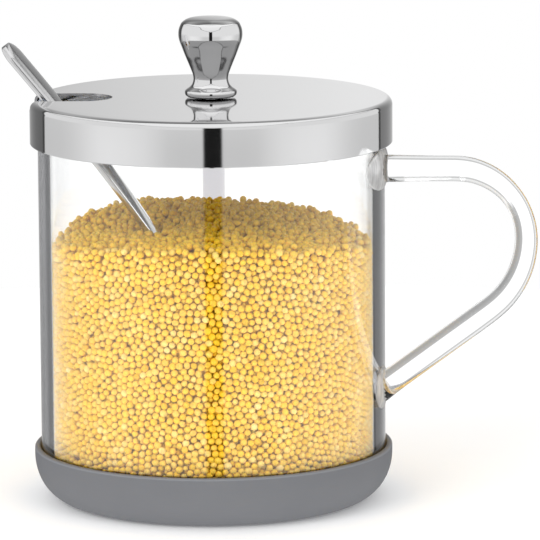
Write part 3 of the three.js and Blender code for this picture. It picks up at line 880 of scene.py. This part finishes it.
# Sections across the spoon: x is a share of its thickness and y of half its width, round a slab with soft
# edges. The height is x thickness + (crown - sink) (1 - y^2) + the bend
def makeSpoon():
    length, bowl = spoon["length"], spoon["bowlLength"]
    gripEnd = length - spoon["grip"] / 2
    ease = (1 - np.cos(np.linspace(0, math.pi, 44)[1:])) / 2
    s = np.r_[bowl * ease, np.linspace(bowl, gripEnd, 60)[1:],
              gripEnd + (length - gripEnd) * np.sin(np.linspace(0, math.pi / 2, 14)[1:-1])]
    half = spoonWidth(s)[:, None] / 2
    flat = np.linspace(-0.9, 0.9, 15)
    turn = np.linspace(-90, 90, 7)[1:-1]
    y = np.r_[flat, 0.9 + 0.1 * np.cos(np.radians(turn)), flat[::-1], -0.9 - 0.1 * np.cos(np.radians(turn))]
    x = np.r_[0 * flat + 0.5, -0.5 * np.sin(np.radians(turn)), 0 * flat - 0.5, 0.5 * np.sin(np.radians(turn))]
    side = half * y[None, :]
    crown = spoon["crown"] * smoothStep(s, bowl, 2 * bowl)
    rise = (x[None, :] * spoon["thickness"] + (crown - spoonSink(s))[:, None] * (1 - y[None, :] ** 2)
            + spoonRise(s)[:, None])
    rings = np.stack([rise, side, s[:, None] + 0 * side], 2)
    obj = lofted("spoonBody", rings)
    obj.data.transform(spoonMatrix())
    crease(obj, 50)
    place(obj, "spoon", "spoon_steel", [spoonSteel], "spoon")


makeSpoon()
print("spoon made")


# Millet: grains packed behind the glass and over the heap

heap = {
    "crest": 62.0 * mm, "sideFall": 4.3 * mm, "endFall": 0.8 * mm, "flatness": 2.3, "shift": 0.8 * mm,
    "hollowDepth": 2.7 * mm, "hollowReach": 15 * mm, "hollowLength": 8 * mm, "hollowFront": 9 * mm,
    "hollowBack": 7 * mm, "backLift": 0.5 * mm, "spoonLift": 1.6 * mm,
}
grain = {
    "size": 1.72 * mm,
    "seed": 7,
    "tries": 400000,
    "layers": 2.2,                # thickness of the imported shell, in grains
    "fill": 0.68,                 # share of that shell that grains take up
    "bottom": 10 * mm,            # lowest centre
    "wallGap": 0.02 * mm,
    "rounds": 60,
    "crowd": 6,                   # most grains that a cell of the search holds
    "push": 0.45,                 # share of an overlap by which a grain gives way in one round
    "drift": 0.05,                # pull outwards in the first round, in grains
    "loose": 0.28,                # unevenness of the grains on top, in grains
    "topLayer": 1.2,              # depth to which grains count as on top, in grains
    "spoonRoom": (0.9, 0.4),      # free room: over the spoon as a share of touching, beside it in grains
    "swell": 1.19,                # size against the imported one, so that neighbours touch
    "spread": 0.09,
    "smallest": 0.85,
    "largest": 1.24,
    "squash": 0.2,
    # painted shade: grains on top, but not near the glass, have their tones scaled down by this share
    "toneShape": (2.4, 2.0),      # the two powers of the spread of tones
    "paintedTopShade": 0.62,              # share of the tones on top, but not near the glass
    "wallLayers": 2.5,            # how near that is, in grains
    "heartInset": 1.3,            # of the solid core from glass and surface, in grains
    "heartShadeTone": 0.02,
    "pieces": 5,
}


# Height of the heap: crest - sideFall (|a| / R)^flatness - endFall (b / R)^2, less a round hollow at the
# spoon, with the grain piled a little higher at the back, most of all beside the spoon
def heapTop(x, y):
    turn = math.radians(lid["bearing"])
    along = x * math.cos(turn) + y * math.sin(turn)
    across = -x * math.sin(turn) + y * math.cos(turn)
    side = np.where(across > 0, heap["hollowFront"], heap["hollowBack"])
    sideFall = heap["sideFall"] * (np.abs(along - heap["shift"]) / boreRadius) ** heap["flatness"]
    endFall = heap["endFall"] * (across / boreRadius) ** 2
    away = ((along - heap["hollowReach"]) / heap["hollowLength"]) ** 2 + (across / side) ** 2
    back = smoothStep(-across / boreRadius, 0, 0.6)
    lift = back * (heap["backLift"] + heap["spoonLift"] * smoothStep(along / boreRadius, 0.05, 0.6))
    return floorZ + heap["crest"] + lift - sideFall - endFall - heap["hollowDepth"] * np.exp(-away)


# Loose packing: random centres in the outer layers push their neighbours off until none overlap
def packGrains():
    random = np.random.default_rng(grain["seed"])
    size = grain["size"]
    wallR = boreRadius - grain["largest"] * size / 2 - grain["wallGap"]
    depth = grain["layers"] * size
    topZ = floorZ + heap["crest"] + heap["spoonLift"]

    def depthOf(p):
        return np.minimum(wallR - np.hypot(p[:, 0], p[:, 1]), heapTop(p[:, 0], p[:, 1]) - size / 2 - p[:, 2])

    tries = random.uniform((-wallR, -wallR, grain["bottom"]), (wallR, wallR, topZ), (grain["tries"], 3))
    far = depthOf(tries)
    inside = tries[(far > 0) & (far < depth)]
    volume = len(inside) / len(tries) * (2 * wallR) ** 2 * (topZ - grain["bottom"])
    count = int(grain["fill"] * volume / (math.pi / 6 * size ** 3))
    p = inside[:count]
    for step in range(grain["rounds"]):
        cell = np.floor((p + 2 * wallR) / size).astype(np.int64)
        spanCells = int(6 * wallR / size) + 3
        key = (cell[:, 0] * spanCells + cell[:, 1]) * spanCells + cell[:, 2]
        order = np.argsort(key, kind="stable")
        p, key = p[order], key[order]
        push = np.zeros_like(p)
        for dx, dy, dz in itertools.product((-1, 0, 1), repeat=3):
            near = key + (dx * spanCells + dy) * spanCells + dz
            start = np.searchsorted(key, near)
            end = np.searchsorted(key, near, side="right")
            for k in range(grain["crowd"]):
                other = start + k
                ok = (other < end) & (other != np.arange(len(p)))
                a, b = np.nonzero(ok)[0], other[ok]
                gap = p[a] - p[b]
                far = np.linalg.norm(gap, axis=1) + 1e-12
                move = np.clip(size - far, 0, None) * grain["push"]
                np.add.at(push, a, gap * (move / far)[:, None])
        p = p + push
        r = np.hypot(p[:, 0], p[:, 1])
        top = heapTop(p[:, 0], p[:, 1]) - size / 2 - p[:, 2]
        pull = grain["drift"] * size * (1 - step / grain["rounds"])
        outwards = (wallR - r < top)[:, None]
        p += pull * np.where(outwards, np.c_[p[:, :2] / np.maximum(r, 1e-9)[:, None], 0 * r], [0, 0, 1])
        r = np.hypot(p[:, 0], p[:, 1])
        p[:, :2] *= np.minimum(1, wallR / np.maximum(r, 1e-9))[:, None]
        p[:, 2] = np.minimum(p[:, 2], heapTop(p[:, 0], p[:, 1]) - size / 2)
        p[:, 2] = np.maximum(p[:, 2], grain["bottom"])
    onTop = heapTop(p[:, 0], p[:, 1]) - p[:, 2] < grain["topLayer"] * size
    p[:, 2] += onTop * grain["loose"] * size * random.normal(size=len(p)).clip(-2, 2)
    return p, random


# Grains whose centres would lie in the spoon are left out
def clearOfSpoon(p):
    local = np.c_[p, np.ones(len(p))] @ np.array(spoonMatrix().inverted()).T
    s = local[:, 2]
    half = spoonWidth(np.clip(s, 0, spoon["length"])) / 2
    level = spoonRise(s) - spoonSink(s) * (1 - np.clip(local[:, 1] / np.maximum(half, 1e-6), -1, 1) ** 2)
    touching = grain["size"] / 2 + spoon["thickness"] / 2
    over, beside = grain["spoonRoom"]
    near = np.abs(local[:, 0] - level) < over * touching
    near &= np.abs(local[:, 1]) < half + beside * grain["size"]
    return ~(near & (s > -grain["size"] / 2))


# One grain: a cube of 2 x 2 faces a side blown up to a sphere
def grainShape():
    steps = np.linspace(-1, 1, 3)
    grid = np.array(np.meshgrid(steps, steps, steps, indexing="ij")).reshape(3, -1).T
    points = grid[np.abs(grid).max(1) == 1]
    where = {tuple(q): i for i, q in enumerate(points)}
    faces = []
    for axis, sign, u, v in itertools.product(range(3), (-1, 1), (-1, 0), (-1, 0)):
        corners = [(u, v), (u + 1, v), (u + 1, v + 1), (u, v + 1)]
        quad = [np.insert(np.array(c, float), axis, sign) for c in corners]
        quad = quad if (sign > 0) == (axis != 1) else quad[::-1]
        faces.append([where[tuple(q)] for q in quad])
    return points / np.linalg.norm(points, axis=1, keepdims=True), np.array(faces)


# Even random rotations, as the matrices of random unit quaternions
def randomTurns(random, count):
    q = random.normal(size=(count, 4))
    w, x, y, z = (q / np.linalg.norm(q, axis=1, keepdims=True)).T
    return np.stack([
        1 - 2 * (y * y + z * z), 2 * (x * y - z * w), 2 * (x * z + y * w),
        2 * (x * y + z * w), 1 - 2 * (x * x + z * z), 2 * (y * z - x * w),
        2 * (x * z - y * w), 2 * (y * z + x * w), 1 - 2 * (x * x + y * y)], 1).reshape(-1, 3, 3)


def grainMaterial():
    material, tree, shader = newMaterial("milletSkin", roughness=0.42, specularIorLevel=0.2,
                                         subsurfaceWeight=0.3, subsurfaceScale=0.6 * mm)
    shader.inputs["Subsurface Radius"].default_value = (1.0, 0.6, 0.2)
    tone = add(tree, "ShaderNodeAttribute", attribute_name="tone").outputs["Fac"]
    colour = ramp(tree, tone, [
        (0, (0.68, 0.4, 0.01)), (0.14, (0.84, 0.51, 0.02)), (0.35, (0.9, 0.57, 0.035)),
        (0.6, (0.86, 0.55, 0.06)), (0.85, (0.88, 0.6, 0.12)), (1, (0.91, 0.7, 0.25))])
    where = objectPlace(tree)
    shade = ramp(tree, noise(tree, where, 900.0, 2), [(0.3, 0.8), (0.55, 1.0)])
    feed(tree, shader.inputs["Base Color"], blendColour(tree, 1.0, colour, shade, "MULTIPLY"))
    feed(tree, shader.inputs["Normal"], bump(tree, noise(tree, where, 3500.0, 2), 0.15, 0.05 * mm))
    return material


def makeGrains():
    p, random = packGrains()
    p = p[clearOfSpoon(p)]
    count = len(p)
    shape, quads = grainShape()
    swell = grain["swell"] + grain["spread"] * random.normal(size=count)
    size = grain["size"] / 2 * swell.clip(grain["smallest"], grain["largest"])
    scale = size[:, None] * (1 - grain["squash"] * random.random((count, 3)))
    turns = randomTurns(random, count)
    points = np.einsum("nij,kj,nj->nki", turns, shape, scale) + p[:, None, :]
    tone = random.beta(*grain["toneShape"], count)
    onTop = heapTop(p[:, 0], p[:, 1]) - p[:, 2] < grain["topLayer"] * grain["size"]
    onTop &= np.hypot(p[:, 0], p[:, 1]) < boreRadius - grain["wallLayers"] * grain["size"]
    # Painted shade: grains on the heap's top, away from the glass, take darker tones
    tone = np.where(onTop, grain["paintedTopShade"] * tone, tone)
    side = ((np.arctan2(p[:, 1], p[:, 0]) / (2 * math.pi)) % 1 * grain["pieces"]).astype(int)
    material = grainMaterial()
    for k in range(grain["pieces"]):
        chosen = side == k
        total = int(chosen.sum())
        faces = (quads[None] + len(shape) * np.arange(total)[:, None, None]).reshape(-1, 4)
        mesh = bpy.data.meshes.new(f"millet{k + 1}")
        mesh.vertices.add(total * len(shape))
        mesh.vertices.foreach_set("co", points[chosen].ravel())
        mesh.loops.add(faces.size)
        mesh.loops.foreach_set("vertex_index", faces.ravel())
        mesh.polygons.add(len(faces))
        mesh.polygons.foreach_set("loop_start", np.arange(0, faces.size, 4))
        mesh.update(calc_edges=True)
        mesh.shade_smooth()
        attribute = mesh.attributes.new("tone", "FLOAT", "POINT")
        attribute.data.foreach_set("value", np.repeat(tone[chosen], len(shape)).astype(np.float32))
        obj = bpy.data.objects.new(f"millet{k + 1}", mesh)
        bpy.context.scene.collection.objects.link(obj)
        place(obj, "jar", "millet", [material], "millet_fill")
    print("grains:", count)
    return material


# Under the outer grains the heap is one solid, so that no light passes between them
def makeHeart(material):
    inset = grain["heartInset"] * grain["size"]
    u = np.linspace(0, 2 * math.pi, 96, endpoint=False)
    shares = np.linspace(0, 1, 22)[1:, None]
    outer = boreRadius - inset
    x, y = outer * shares * np.cos(u), outer * shares * np.sin(u)
    top = np.stack([x, y, heapTop(x, y) - inset], 2)
    low = np.stack([x[-1], y[-1], 0 * u + floorZ + inset], 1)[None]
    heart = lofted("milletHeart", np.vstack([low * [0.2, 0.2, 1], low, top[::-1]]))
    attribute = heart.data.attributes.new("tone", "FLOAT", "POINT")
    # Painted shade: the core takes the darkest tone, for the shaded grains deeper down
    attribute.data.foreach_set("value", np.full(len(heart.data.vertices), grain["heartShadeTone"], np.float32))
    place(heart, "jar", "millet", [material], "millet_fill")


makeHeart(makeGrains())
print("millet made")
